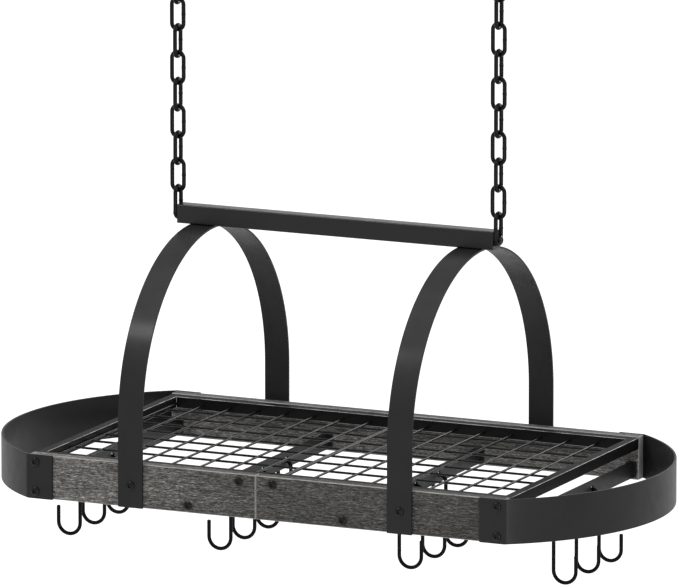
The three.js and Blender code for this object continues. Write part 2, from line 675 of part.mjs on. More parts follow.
// Each chain stands on its bolt in the end of the bar. Odd links lie in Y and Z, even ones
// in X and Z.
const chainBolt = boltGeometry(LINK_WIRE + 2 * SEAT + PLUG_LENGTH - SEAT);
for (const [sideName, side] of sides) {
  const boltSeat = [side * (CHAIN_X + LINK_WIRE / 2 + SEAT), 0, BAR_MIDDLE];
  place(`chain_bolt_${sideName}`, chainBolt, blackSteel, boltSeat, [0, (side * Math.PI) / 2, 0]);
  for (let link = 1; link <= LINKS_PER_CHAIN; link++) {
    const height = FIRST_LINK_HEIGHT + (link - 1) * LINK_PITCH;
    const turn = link % 2 ? Math.PI / 2 : 0;
    const name = `chain_${sideName}_link_${link}`;
    place(name, chainLinkGeometry(), blackSteel, [side * CHAIN_X, 0, height], [0, 0, turn]);
  }
  const ceiling = [side * CHAIN_X, 0, CEILING_HEIGHT];
  place(`ceiling_hook_${sideName}`, ceilingHookGeometry(), blackSteel, ceiling);
}

export default part;
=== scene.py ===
"""The hanging pot rack, dressed: looks only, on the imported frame. Metres, +X along the boards,
-Y the front, +Z up, with the origin on the ceiling between the two ceiling hooks."""

import math

import bmesh
import bpy
from mathutils import Matrix, Vector


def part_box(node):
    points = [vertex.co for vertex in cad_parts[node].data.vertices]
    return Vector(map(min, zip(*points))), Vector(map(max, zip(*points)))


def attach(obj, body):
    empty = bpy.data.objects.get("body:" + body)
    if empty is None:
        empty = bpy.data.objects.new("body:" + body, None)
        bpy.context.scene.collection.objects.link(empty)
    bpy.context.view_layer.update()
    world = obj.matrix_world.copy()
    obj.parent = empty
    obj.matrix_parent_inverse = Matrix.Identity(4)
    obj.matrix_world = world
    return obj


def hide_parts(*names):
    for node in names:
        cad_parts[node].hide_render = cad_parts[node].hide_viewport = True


MM = 0.001
UP = Vector((0, 0, 1))
SIDES = (("left", -1), ("right", 1))
FACES = (("front", -1), ("back", 1))

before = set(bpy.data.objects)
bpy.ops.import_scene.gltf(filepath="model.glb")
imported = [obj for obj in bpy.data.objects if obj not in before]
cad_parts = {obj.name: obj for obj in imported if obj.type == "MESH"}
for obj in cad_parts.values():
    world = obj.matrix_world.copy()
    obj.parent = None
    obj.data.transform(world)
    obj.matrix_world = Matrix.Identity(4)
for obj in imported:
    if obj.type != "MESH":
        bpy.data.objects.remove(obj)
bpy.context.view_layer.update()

# ------------------------------------------------------------------ places read off the frame
BOARD_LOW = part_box("board_front_left")[0]
BOARD_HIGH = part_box("board_front_right")[1]
BOARD_BOTTOM = BOARD_LOW.z
BOARD_TOP = BOARD_HIGH.z
BOARD_END = BOARD_HIGH.x
BOARD_FACE = -BOARD_LOW.y
SEAM = (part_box("board_front_left")[1].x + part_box("board_front_right")[0].x) / 2
STEEL_FACE = -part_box("end_band_left")[0].y
BAND_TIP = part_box("end_band_right")[1].x
BAND_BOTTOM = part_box("end_band_right")[0].z
BAND_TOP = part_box("end_band_right")[1].z
TAB_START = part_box("end_band_right")[0].x
CHAIN_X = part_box("chain_right_link_1")[0].x / 2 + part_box("chain_right_link_1")[1].x / 2

# ------------------------------------------------------------------ sizes, as in the part's source
SEAT = 0.3 * MM  # gap between pieces that touch
STEEL = 3 * MM
BAR_WALL = 2 * MM
TAB_BOLT_INSET = 10.3 * MM
TAB_BOLT_DROP = 9.8 * MM
LOW_BOLT_HEIGHT = 9.4 * MM
OUTER_CROSSBAR_X = 328.2 * MM
SEAM_BOLT_OFFSET = 23.8 * MM
SEAM_BOLT_DROP = 10.4 * MM

CROSSBARS = 4
HOOKS_A_BAR = 3
HOOK_ROD = 5 * MM
HOOK_TOP_RADIUS = 9.1 * MM
HOOK_BOTTOM_RADIUS = 15.7 * MM
HOOK_TOP_TIP = 7 * MM
HOOK_BOTTOM_TIP = 20 * MM

LINK_WIRE = 5.5 * MM
LINK_WIDTH = 22.3 * MM
LINKS = 9

CEILING_ROD = 5 * MM
CEILING_HOOK_RADIUS = 9.5 * MM
CEILING_FLANGE = 34 * MM
CEILING_FLANGE_THICKNESS = 4 * MM
CEILING_HOOK_TIP = math.radians(150)
CEILING_SCREW_SPACING = 22 * MM

RAIL_WIDTH = 12.7 * MM  # the shelf frame's rectangular tube
RAIL_WALL = 1.5 * MM
WIRE = 3.2 * MM
CROSS_WIRE_PITCH = 40.8 * MM
CROSS_WIRES = 7
LONG_WIRE_PITCH = 44.4 * MM
LONG_WIRES = 8
CROSS_WIRE_DEPTH = 9.6 * MM
WIRE_STEP = 0.8 * MM
CENTRE_WIRE_SPACING = 3.5 * MM
WIRE_SINK = 0.3 * MM

BOLT_HEAD = 12 * MM
BOLT_HEAD_HEIGHT = 2.6 * MM
BOLT_SHANK = 6 * MM
BOLT_SOCKET = 4 * MM  # across the flats
BOLT_SOCKET_DEPTH = 1.6 * MM
BOLT_DEPTH = 14 * MM  # shank of the bolts that have no CAD node

# ------------------------------------------------------------------ sizes of the dressing alone
EDGE_ROUND = 0.5 * MM  # of cut steel strip
BAR_ROUND = 1.6 * MM
RAIL_ROUND = 1.6 * MM
RAIL_BEAD = 1.1 * MM  # radius of the weld in the frame's inner corners
BOARD_CHAMFER = 1.1 * MM
WELD_RADIUS = 1.75 * MM  # of the spot welds of the wires
WELD_FLATTENING = 0.62
LINK_WELD_REACH = 1.3 * MM  # each way from its middle
LINK_WELD_RISE = 0.25 * MM

# ------------------------------------------------------------------ camera, fitted to the photo
CAMERA_AZIMUTH = math.radians(24.82)
CAMERA_ELEVATION = math.radians(11.207)
CAMERA_DISTANCE = 15.9828
CAMERA_LENS = 652.1  # mm
CAMERA_SENSOR = 36  # mm wide
CAMERA_NEAREST = 1
CAMERA_FARTHEST = 200
AIM = Vector((3.10 * MM, 0, BOARD_BOTTOM + 258.80 * MM))


def make_camera():
    data = bpy.data.cameras.new("camera")
    data.sensor_fit = "HORIZONTAL"
    data.sensor_width = CAMERA_SENSOR
    data.lens = CAMERA_LENS
    data.clip_start = CAMERA_NEAREST
    data.clip_end = CAMERA_FARTHEST
    camera = bpy.data.objects.new("camera", data)
    flat = math.cos(CAMERA_ELEVATION)
    right = math.sin(CAMERA_AZIMUTH) * flat
    forward = -math.cos(CAMERA_AZIMUTH) * flat
    camera.location = AIM + Vector((right, forward, math.sin(CAMERA_ELEVATION))) * CAMERA_DISTANCE
    camera.rotation_euler = (math.pi / 2 - CAMERA_ELEVATION, 0, CAMERA_AZIMUTH)
    bpy.context.scene.collection.objects.link(camera)
    bpy.context.scene.camera = camera


# ------------------------------------------------------------------ material helpers
def grey(value):
    return (value, value, value)


def opaque(colour):
    """A colour with its alpha. A socket stays as it is."""
    return colour if isinstance(colour, bpy.types.NodeSocket) else (*colour, 1)


class Nodes:
    """Adds nodes to one node tree and links them by name."""

    def __init__(self, tree):
        self.tree = tree

    def add(self, kind, inputs=None, **settings):
        """A new node. Each input is a socket to link or a value to set."""
        node = self.tree.nodes.new(kind)
        for key, value in settings.items():
            setattr(node, key, value)
        for key, value in (inputs or {}).items():
            if isinstance(value, bpy.types.NodeSocket):
                self.tree.links.new(value, node.inputs[key])
            else:
                node.inputs[key].default_value = value
        return node

    def place(self, scale=(1, 1, 1), offset=(0, 0, 0)):
        """Object coordinates in metres times scale, moved by offset."""
        coordinates = self.add("ShaderNodeTexCoord").outputs["Object"]
        inputs = {"Vector": coordinates, "Scale": scale, "Location": offset}
        return self.add("ShaderNodeMapping", inputs).outputs["Vector"]

    def noise(self, vector, scale, detail, roughness, distortion=0.0):
        inputs = {
            "Vector": vector,
            "Scale": scale,
            "Detail": detail,
            "Roughness": roughness,
            "Distortion": distortion,
        }
        return self.add("ShaderNodeTexNoise", inputs).outputs["Fac"]

    def ramp(self, value, stops):
        """A colour for each value, between stops of a value and a colour."""
        node = self.add("ShaderNodeValToRGB", {"Fac": value})
        elements = node.color_ramp.elements
        for index in (0, -1):
            elements[index].position = stops[index][0]
            elements[index].color = opaque(stops[index][1])
        for position, colour in stops[1:-1]:
            elements.new(position).color = opaque(colour)
        return node.outputs["Color"]

    def spread(self, value, low, high, to_low, to_high):
        inputs = {
            "Value": value,
            "From Min": low,
            "From Max": high,
            "To Min": to_low,
            "To Max": to_high,
        }
        return self.add("ShaderNodeMapRange", inputs).outputs["Result"]

    def mix(self, amount, first, second, blend="MIX"):
        """Two colours mixed. A mix node of colours has them at its inputs 6 and 7."""
        inputs = {0: amount, 6: opaque(first), 7: opaque(second)}
        return self.add("ShaderNodeMix", inputs, data_type="RGBA", blend_type=blend).outputs[2]

    def calculate(self, operation, first, second):
        return self.add("ShaderNodeMath", {0: first, 1: second}, operation=operation).outputs[0]

    def bump(self, height, strength, distance, **under):
        """A bumped normal. Normal=socket puts it on top of another one."""
        inputs = {"Height": height, "Strength": strength, "Distance": distance, **under}
        return self.add("ShaderNodeBump", inputs).outputs["Normal"]

    def facing(self):
        """How far the surface faces each axis of the piece, and the most of the three."""
        normal = self.add("ShaderNodeTexCoord").outputs["Normal"]
        slant = self.add("ShaderNodeVectorMath", {0: normal}, operation="ABSOLUTE").outputs[0]
        parts = self.add("ShaderNodeSeparateXYZ", {0: slant}).outputs
        most = self.calculate("MAXIMUM", parts["Y"], parts["Z"])
        return parts, self.calculate("MAXIMUM", most, parts["X"])

    def by_ray(self, seen, unseen):
        """One value for rays from the camera, a mirror or glass, another for all others."""
        path = self.add("ShaderNodeLightPath").outputs
        direct = path["Is Camera Ray"]
        for name in ("Is Glossy Ray", "Is Transmission Ray"):
            direct = self.calculate("MAXIMUM", direct, path[name])
        return self.spread(direct, 0, 1, unseen, seen)

    def end_in(self, shader):
        """Makes a shader node the surface of the material."""
        self.add("ShaderNodeOutputMaterial", {"Surface": shader.outputs[0]})


def new_material(name):
    """An empty material and the nodes to fill it with."""
    material = bpy.data.materials.new(name)
    material.use_nodes = True
    material.node_tree.nodes.clear()
    return material, Nodes(material.node_tree)


# ------------------------------------------------------------------ coated steel
# Each noise of the coat: cells a metre, detail, roughness.
COLOUR_CLOUDS = (18, 3, 0.55)
GLOSS_CLOUDS = (60, 3, 0.55)
# the spots break up the painted highlight of the edges
HIGHLIGHT_SPOTS = (40, 3, 0.55)
ORANGE_PEEL = (900, 2, 0.5)
COAT_SPECKS = (2600, 1, 0.5)
PEEL_BUMP = (0.18, 0.25 * MM)  # strength, depth
SPECK_BUMP = (0.10, 0.1 * MM)
DARKEST_CLOUD, LIGHTEST_CLOUD = 0.3, 0.72
GLOSS_LOW, GLOSS_HIGH = 0.3, 0.7
GLOSSIER, DULLER = -0.03, 0.04
# From a low and a high value to what each gives.
# Painted highlight on the edges, broken up in spots, and its light grey:
EDGE_TO_HIGHLIGHT = (0.78, 0.88, 1.0, 0.0)
SPOTS_TO_HIGHLIGHT = (0.35, 0.6, 0.25, 1.0)
EDGE_HIGHLIGHT_GREY = grey(0.50)
TOP_COAT_ROUGHNESS = 0.22


def coated_steel(name, dark, light, roughness, shine, grain=1.0, coat=0.0, painted_edge_highlight=False):
    """Black powder coat between two greys: orange peel, a little cloudiness in colour and in
    gloss, and, if asked, a painted highlight: the edges mixed toward a light grey in spots. grain
    makes the peel coarser."""
    material, nodes = new_material(name)
    place = nodes.place()

    def noise(pattern, coarser=1):
        scale, *shape = pattern
        return nodes.noise(place, scale / coarser, *shape)

    stops = ((DARKEST_CLOUD, grey(dark)), (LIGHTEST_CLOUD, grey(light)))
    colour = nodes.ramp(noise(COLOUR_CLOUDS), stops)
    if painted_edge_highlight:
        # Painted highlight: edges that face between two axes turn light grey in spots, where the
        # rounded edges catch the light.
        edge = nodes.spread(nodes.facing()[1], *EDGE_TO_HIGHLIGHT)
        uneven = nodes.spread(noise(HIGHLIGHT_SPOTS), *SPOTS_TO_HIGHLIGHT)
        colour = nodes.mix(nodes.calculate("MULTIPLY", edge, uneven), colour, EDGE_HIGHLIGHT_GREY)
    gloss = (GLOSS_LOW, GLOSS_HIGH, roughness + GLOSSIER, roughness + DULLER)
    specks = nodes.bump(noise(COAT_SPECKS, grain), *SPECK_BUMP)
    inputs = {
        "Base Color": colour,
        "Roughness": nodes.spread(noise(GLOSS_CLOUDS), *gloss),
        "Normal": nodes.bump(noise(ORANGE_PEEL, grain), *PEEL_BUMP, Normal=specks),
        "Metallic": 0.0,
        "Specular IOR Level": shine,
        "Coat Weight": coat,
        "Coat Roughness": TOP_COAT_ROUGHNESS,
    }
    nodes.end_in(nodes.add("ShaderNodeBsdfPrincipled", inputs))
    return material


# ------------------------------------------------------------------ grey wood
# Each noise of the grain: cells a metre along X, Y and Z, detail, roughness, distortion.
BROAD_PATCHES = ((5, 30, 30), 1, 0.5, 0.2)
STREAKS = ((42, 950, 950), 2, 0.5, 0)
FIBRES = ((180, 1150, 1150), 3, 0.6, 0)
GRIT = ((430, 900, 900), 3, 0.7, 0)
CRACKS = ((26, 420, 420), 3, 0.6, 0.4)
GRAIN_SHIFT = (3.7, 1.3, 2.1)  # from one board's grain to the next
CRACK_SHIFT = (1.9, 5.3, 1)
# What each noise does to the colour: stops of a value and a colour.
FIBRE_STAIN = (
    (0.32, (0.022, 0.021, 0.020)),
    (0.44, (0.085, 0.083, 0.079)),
    (0.55, (0.172, 0.169, 0.163)),
    (0.68, (0.340, 0.333, 0.321)),
)
BROAD_SHADE = ((0.32, grey(0.86)), (0.68, (1.15, 1.12, 1.08)))
STREAK_SHADE = ((0.34, grey(0.45)), (0.64, grey(1.42)))
GRIT_SHADE = ((0.36, grey(0.50)), (0.62, grey(1.30)))
CRACK_SHADE = ((0.28, grey(0.22)), (0.33, grey(1.0)))
GRIT_AMOUNT = 0.9
# Painted highlight with some wear, for eased edges:
EDGE_HIGHLIGHT_AND_WEAR = (0.30, 0.297, 0.29)
END_GRAIN = (0.20, 0.202, 0.205)
# From a low and a high value to what each gives.
END_FACE_TO_SAWN = (0.85, 0.95, 0.0, 0.8)
EDGE_TO_HIGHLIGHT_AND_WEAR = (0.80, 0.92, 1.0, 0.0)
STREAK_TO_HIGHLIGHT_AND_WEAR = (0.30, 0.55, 0.35, 1.0)
FIBRE_TO_ROUGHNESS = (0.3, 0.7, 0.74, 0.9)
GRAIN_BUMP = (0.45, 0.4 * MM)  # strength, depth
WOOD_SHINE = 0.25


def grey_wood(name, seed, span, end_tones_and_painted_light):
    """Weathered grey stain: short dark and light fibres along X, pores, cracks, and eased edges
    lightened by a painted highlight with some wear.
    The lightness runs from the first end value to the second over span, the board's two ends:
    partly the board's own colour, partly painted light, lighter at the end where the light falls."""
    material, nodes = new_material(name)

    def noise(pattern, steps=GRAIN_SHIFT):
        scale, *shape = pattern
        return nodes.noise(nodes.place(scale, [seed * step for step in steps]), 1, *shape)

    streak = noise(STREAKS)
    fibre = noise(FIBRES)
    crack = noise(CRACKS, CRACK_SHIFT)
    colour = nodes.ramp(fibre, FIBRE_STAIN)
    for value, shade, amount in (
        (noise(BROAD_PATCHES), BROAD_SHADE, 1.0),
        (streak, STREAK_SHADE, 1.0),
        (noise(GRIT), GRIT_SHADE, GRIT_AMOUNT),
        (crack, CRACK_SHADE, 1.0),
    ):
        colour = nodes.mix(amount, colour, nodes.ramp(value, shade), "MULTIPLY")
    # Painted light: the colour is scaled from one end of the board to the other, partly the
    # board's own lightness, partly lighter where the light falls.
    along = nodes.add("ShaderNodeSeparateXYZ", {0: nodes.place()}).outputs["X"]
    tone_and_painted_light = nodes.spread(along, *span, *end_tones_and_painted_light)
    even = nodes.add("ShaderNodeCombineColor", {0: tone_and_painted_light, 1: tone_and_painted_light, 2: tone_and_painted_light}).outputs["Color"]
    colour = nodes.mix(1.0, colour, even, "MULTIPLY")
    # End grain is sawn clean and takes an even stain.
    parts, most = nodes.facing()
    colour = nodes.mix(nodes.spread(parts["X"], *END_FACE_TO_SAWN), colour, END_GRAIN)
    # Eased edges face between two axes; there the colour is lightened unevenly, a painted
    # highlight where the edges catch the light, with some wear of the stain.
    eased = nodes.spread(most, *EDGE_TO_HIGHLIGHT_AND_WEAR)
    uneven = nodes.spread(streak, *STREAK_TO_HIGHLIGHT_AND_WEAR)
    colour = nodes.mix(nodes.calculate("MULTIPLY", eased, uneven), colour, EDGE_HIGHLIGHT_AND_WEAR)
    inputs = {
        "Base Color": colour,
        "Roughness": nodes.spread(fibre, *FIBRE_TO_ROUGHNESS),
        "Normal": nodes.bump(nodes.calculate("ADD", fibre, crack), *GRAIN_BUMP),
        "Specular IOR Level": WOOD_SHINE,
    }
    nodes.end_in(nodes.add("ShaderNodeBsdfPrincipled", inputs))
    return material


# ------------------------------------------------------------------ mesh helpers
SAME_PLACE = 0.001 * MM  # points this close are one
SMOOTH_BELOW = 35  # degrees between faces that shade as one surface
SHARP_ABOVE = 50  # degrees between faces whose edge is cut back
ROD_SIDES = 20
FINE_ROD_SIDES = 24
WIRE_SIDES = 14
ROD_DOME = 0.6  # the height of a rod's rounded end, as a share of its radius
DOME_STEPS = (0.45, 0.8)  # rings of the dome, as shares of its quarter turn


def piece(name, mesh, material, body="rack", stands_for=()):
    """Puts a mesh in the scene as one piece of the model that rides on a body, in the place of
    the CAD nodes that it stands for."""
    obj = bpy.data.objects.new(name, mesh)
    bpy.context.scene.collection.objects.link(obj)
    mesh.materials.append(material)
    # Large faces keep their own direction, so that flat steel shades flat up to its edges.
    obj.modifiers.new("flat_faces", "WEIGHTED_NORMAL").keep_sharp = True
    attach(obj, body)
    if stands_for:
        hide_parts(*stands_for)


def mesh_of(name, bm, smooth_below=SMOOTH_BELOW):
    """A mesh from a bmesh, smooth but for edges over the given angle in degrees."""
    bmesh.ops.remove_doubles(bm, verts=bm.verts, dist=SAME_PLACE)
    bmesh.ops.recalc_face_normals(bm, faces=bm.faces)
    mesh = bpy.data.meshes.new(name)
    bm.to_mesh(mesh)
    bm.free()
    mesh.shade_smooth()
    mesh.set_sharp_from_angle(angle=math.radians(smooth_below))
    return mesh


def arc(centre, radius, start, end, steps):
    """Points on an arc in a plane, angles in radians, both ends included."""
    angles = [start + (end - start) * i / steps for i in range(steps + 1)]
    return [(centre[0] + radius * math.cos(a), centre[1] + radius * math.sin(a)) for a in angles]


def full_turn(sides):
    """The angles of a circle's points, in radians."""
    return [2 * math.pi * i / sides for i in range(sides)]


def bridge(bm, first, second):
    """Faces between two rings with as many points each."""
    for i in range(len(first)):
        j = (i + 1) % len(first)
        bm.faces.new((first[i], first[j], second[j], second[i]))


def add_ring(bm, centre, along, normal, radius, sides):
    """A round section of a rod that runs along and lies at right angles to normal."""
    across = normal.cross(along).normalized()
    ring = []
    for angle in full_turn(sides):
        out = across * math.cos(angle) + normal * math.sin(angle)
        ring.append(bm.verts.new(centre + out * radius))
    return ring


def add_dome(bm, end, out, along, normal, radius, height, sides):
    """Closes a rod's end with a dome, and gives its rings from the rod outward. along is the
    rod's own direction there, which is out or its opposite."""
    rings = []
    for step in DOME_STEPS:
        lean = step * math.pi / 2
        centre = end + out * radius * height * math.sin(lean)
        rings.append(add_ring(bm, centre, along, normal, radius * math.cos(lean), sides))
    tip = bm.verts.new(end + out * radius * height)
    for i in range(sides):
        bm.faces.new((rings[-1][i], rings[-1][(i + 1) % sides], tip))
    return rings


def add_rod(bm, route, radius, normal, closed=False, sides=ROD_SIDES, dome=ROD_DOME):
    """A round rod along points of one plane, which normal is at right angles to. It is a loop
    or has two domed ends."""
    normal = Vector(normal).normalized()
    points = [Vector(route[0])]
    for point in route[1:]:
        if (Vector(point) - points[-1]).length > SAME_PLACE:
            points.append(Vector(point))
    last = len(points) - 1
    rings = []
    for i, point in enumerate(points):
        before = points[i - 1] if i or closed else point
        after = points[(i + 1) % len(points)] if i < last or closed else point
        along = (after - before).normalized()
        rings.append(add_ring(bm, point, along, normal, radius, sides))
    if closed:
        rings.append(rings[0])
    else:
        shape = (normal, radius, dome, sides)
        back = (points[0] - points[1]).normalized()
        on = (points[-1] - points[-2]).normalized()
        first = add_dome(bm, points[0], back, -back, *shape)
        rings = first[::-1] + rings + add_dome(bm, points[-1], on, on, *shape)
    for ring, following in zip(rings, rings[1:]):
        bridge(bm, ring, following)


def prism(outline, place, low, high, bevel, segments):
    """A flat outline pushed from low to high, its sharp edges cut back. place turns
    (u, v, push) into a point."""
    bm = bmesh.new()
    bottom = [bm.verts.new(place(u, v, low)) for u, v in outline]
    top = [bm.verts.new(place(u, v, high)) for u, v in outline]
    bm.faces.new(bottom[::-1])
    bm.faces.new(top)
    bridge(bm, bottom, top)
    bmesh.ops.recalc_face_normals(bm, faces=bm.faces)
    limit = math.radians(SHARP_ABOVE)
    sharp = [edge for edge in bm.edges if edge.calc_face_angle(math.pi) > limit]
    bmesh.ops.bevel(
        bm, geom=sharp, offset=bevel, segments=segments, profile=0.5, affect="EDGES"
    )
    return bm


def add_turned(bm, profile, seat, axis, sides):
    """A profile of (radius, height) turned about an axis through seat."""
    turn = UP.rotation_difference(axis).to_matrix()
    rings = []
    for radius, height in profile:
        ring = []
        for angle in full_turn(sides) if radius else [0]:
            spot = Vector((radius * math.cos(angle), radius * math.sin(angle), height))
            ring.append(bm.verts.new(seat + turn @ spot))
        rings.append(ring)
    for first, second in zip(rings, rings[1:]):
        for i in range(sides):
            j = (i + 1) % sides
            corners = [first[i % len(first)], first[j % len(first)]]
            corners += [second[j % len(second)], second[i % len(second)]]
            kept = list(dict.fromkeys(corners))
            if len(kept) > 2:
                bm.faces.new(kept)


# ------------------------------------------------------------------ boards, end bands, arches
CHAMFER_SEGMENTS = 1
ROUND_SEGMENTS = 2
BAND_STEPS = 96
ARCH_STEPS = 128


def board(name, material):
    """A board with every edge eased. The bolts cover its holes."""
    low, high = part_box(name)
    outline = [(low.x, low.y), (high.x, low.y), (high.x, high.y), (low.x, high.y)]
    bm = prism(
        outline, lambda u, v, w: (u, v, w), low.z, high.z, BOARD_CHAMFER, CHAMFER_SEGMENTS
    )
    piece(name, mesh_of(name, bm), material, stands_for=[name])


def bow(offset, way):
    """The arc of an end band at offset inward of its outer face, from the front for way -1."""
    width = STEEL_FACE - offset
    out = BAND_TIP - BOARD_END - offset
    radius = (width**2 + out**2) / (2 * out)
    turn = math.asin(width / radius)
    centre = (BOARD_END + out - radius, 0)
    return arc(centre, radius, way * turn, -way * turn, BAND_STEPS)


def end_band(name, side, material):
    inner_face = STEEL_FACE - STEEL
    outline = [
        (TAB_START, -STEEL_FACE),
        *bow(0, -1),
        (TAB_START, STEEL_FACE),
        (TAB_START, inner_face),
        *bow(STEEL, 1),
        (TAB_START, -inner_face),
    ]
    bm = prism(
        outline,
        lambda u, v, w: (side * u, v, w),
        BAND_BOTTOM,
        BAND_TOP,
        EDGE_ROUND,
        ROUND_SEGMENTS,
    )
    piece(name, mesh_of(name, bm), material, stands_for=[name])


def arch_strap(name, material):
    low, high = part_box(name)
    outer = high.y
    inner = outer - STEEL
    centre = (0, high.z - outer)
    outline = [
        (outer, low.z),
        *arc(centre, outer, 0, math.pi, ARCH_STEPS),
        (-outer, low.z),
        (-inner, low.z),
        *arc(centre, inner, math.pi, 0, ARCH_STEPS),
        (inner, low.z),
    ]
    bm = prism(outline, lambda u, v, w: (w, u, v), low.x, high.x, EDGE_ROUND, ROUND_SEGMENTS)
    piece(name, mesh_of(name, bm), material, stands_for=[name])


# ------------------------------------------------------------------ top bar
CORNER_STEPS = 5


def rounded_rectangle(low_u, low_v, high_u, high_v, radius):
    quarter = math.pi / 2
    corners = (
        (high_u - radius, high_v - radius),
        (low_u + radius, high_v - radius),
        (low_u + radius, low_v + radius),
        (high_u - radius, low_v + radius),
    )
    points = []
    for turn, corner in enumerate(corners):
        points += arc(corner, radius, turn * quarter, (turn + 1) * quarter, CORNER_STEPS)
    return points


def add_tube(bm, stops, low_u, low_v, high_u, high_v, wall, radius):
    """A rectangular tube open at both ends. Each stop turns a point of its section into a
    place."""
    outside = rounded_rectangle(low_u, low_v, high_u, high_v, radius)
    inside = rounded_rectangle(
        low_u + wall, low_v + wall, high_u - wall, high_v - wall, radius / 3
    )
    walls = []
    for outline in (outside, inside):
        rings = [[bm.verts.new(stop(u, v)) for u, v in outline] for stop in stops]
        for ring, following in zip(rings, rings[1:]):
            bridge(bm, ring, following)
        walls.append(rings)
    for end in (0, -1):
        bridge(bm, walls[0][end], walls[1][end])


def top_bar(name, material):
    low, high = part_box(name)
    stops = (lambda u, v: (low.x, u, v), lambda u, v: (high.x, u, v))
    bm = bmesh.new()
    add_tube(bm, stops, low.y, low.z, high.y, high.z, BAR_WALL, BAR_ROUND)
    piece(name, mesh_of(name, bm), material, stands_for=[name])


# ------------------------------------------------------------------ shelf
CROSS_WIRE_DOME = 0.1
LONG_WIRE_DOME = 0.3


def shelf_frame(place, end, face, low_z, high_z):
    """The tube on three sides, from the seam round two mitred corners and back to the seam,
    and the weld beads in the two corners."""
    start = (CENTRE_WIRE_SPACING + WIRE) / 2
    stops = (
        lambda u, v: place(start, -face + u, v),
        lambda u, v: place(end - u, -face + u, v),
        lambda u, v: place(end - u, face - u, v),
        lambda u, v: place(start, face - u, v),
    )
    bm = bmesh.new()
    add_tube(bm, stops, 0, low_z, RAIL_WIDTH, high_z, RAIL_WALL, RAIL_ROUND)
    inset = RAIL_WIDTH + RAIL_BEAD / 4
    for way in (-1, 1):
        x, y = end - inset, way * (face - inset)
        ends = (place(x, y, low_z + RAIL_BEAD), place(x, y, high_z - RAIL_BEAD))
        add_rod(bm, ends, RAIL_BEAD, (0, 1, 0), sides=WIRE_SIDES)
    return bm


def shelf_wires(place, inner_end, inner_face, cross_z):
    """The cross wires, the long wires under them, and a spot weld wherever they meet each
    other or the frame."""
    seam = CENTRE_WIRE_SPACING / 2
    long_z = cross_z - WIRE_STEP
    last_cross = inner_end - WIRE / 2 + WIRE_SINK
    cross_x = [seam] + [i * CROSS_WIRE_PITCH for i in range(1, CROSS_WIRES + 1)] + [last_cross]
    long_y = [(i - (LONG_WIRES - 1) / 2) * LONG_WIRE_PITCH for i in range(LONG_WIRES)]
    bm = bmesh.new()
    for x in cross_x:
        ends = (place(x, -inner_face, cross_z), place(x, inner_face, cross_z))
        add_rod(bm, ends, WIRE / 2, UP, sides=WIRE_SIDES, dome=CROSS_WIRE_DOME)
    for y in long_y:
        ends = (place(seam, y, long_z), place(inner_end, y, long_z))
        add_rod(bm, ends, WIRE / 2, UP, sides=WIRE_SIDES, dome=LONG_WIRE_DOME)
    welds = [(x, y, cross_z - WIRE_STEP / 2) for x in cross_x for y in long_y]
    welds += [(x, way * inner_face, cross_z) for x in cross_x for way in (-1, 1)]
    welds += [(inner_end, y, long_z) for y in long_y]
    flat = Matrix.Diagonal((1, 1, WELD_FLATTENING, 1))
    for spot in welds:
        matrix = Matrix.Translation(place(*spot)) @ flat
        bmesh.ops.create_icosphere(bm, subdivisions=2, radius=WELD_RADIUS, matrix=matrix)
    return bm


def half_shelf(side_name, side, frame_material, wire_material):
    """The frame and the wires of one half. The wires stand for the whole CAD node."""
    node = f"shelf_half_{side_name}"
    low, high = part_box(node)
    end = high.x if side > 0 else -low.x
    face = high.y

    def place(x, y, z):
        """A place with x counted from the middle of the rack outward."""
        return Vector((side * x, y, z))

    bm = shelf_frame(place, end, face, low.z, high.z)
    mesh = mesh_of(node + "_frame", bm)
    piece(f"shelf_frame_{side_name}", mesh, frame_material)

    bm = shelf_wires(place, end - RAIL_WIDTH, face - RAIL_WIDTH, high.z - CROSS_WIRE_DEPTH)
    mesh = mesh_of(node + "_wires", bm)
    name = f"shelf_wires_{side_name}"
    piece(name, mesh, wire_material, stands_for=[node])


# ------------------------------------------------------------------ hooks and chains
HOOK_TOP_STEPS = 32
HOOK_BOTTOM_STEPS = 40
LINK_STEPS = 28
CEILING_BEND_STEPS = 12
CEILING_RING_STEPS = 48
FLANGE_SIDES = 64
FLANGE_RIM = (
    # inward of the rim, share of the thickness down from the ceiling
    (0, 0),
    (0, 0.5),
    (1.2 * MM, 0.85),
    (3.0 * MM, 1),
)
LINK_WELD_DOME = 0.25


def pot_hook(name, material):
    """An S-hook in X and Z. Its box gives the place of both bends."""
    low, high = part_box(name)
    side = 1 if low.x > 0 else -1
    y = (low.y + high.y) / 2
    rod = HOOK_ROD / 2
    inner_x = low.x if side > 0 else -high.x
    top_x = inner_x + rod + HOOK_TOP_RADIUS
    top_z = high.z - rod - HOOK_TOP_RADIUS
    bottom_x = top_x + HOOK_TOP_RADIUS + HOOK_BOTTOM_RADIUS
    bottom_z = low.z + rod + HOOK_BOTTOM_RADIUS
    flat = [
        (top_x - HOOK_TOP_RADIUS, top_z - HOOK_TOP_TIP),
        *arc((top_x, top_z), HOOK_TOP_RADIUS, math.pi, 0, HOOK_TOP_STEPS),
        *arc((bottom_x, bottom_z), HOOK_BOTTOM_RADIUS, -math.pi, 0, HOOK_BOTTOM_STEPS),
        (bottom_x + HOOK_BOTTOM_RADIUS, bottom_z + HOOK_BOTTOM_TIP),
    ]
    bm = bmesh.new()
    route = [(side * u, y, v) for u, v in flat]
    add_rod(bm, route, rod, (0, 1, 0), sides=FINE_ROD_SIDES)
    piece(name, mesh_of(name, bm), material, body=name, stands_for=[name])


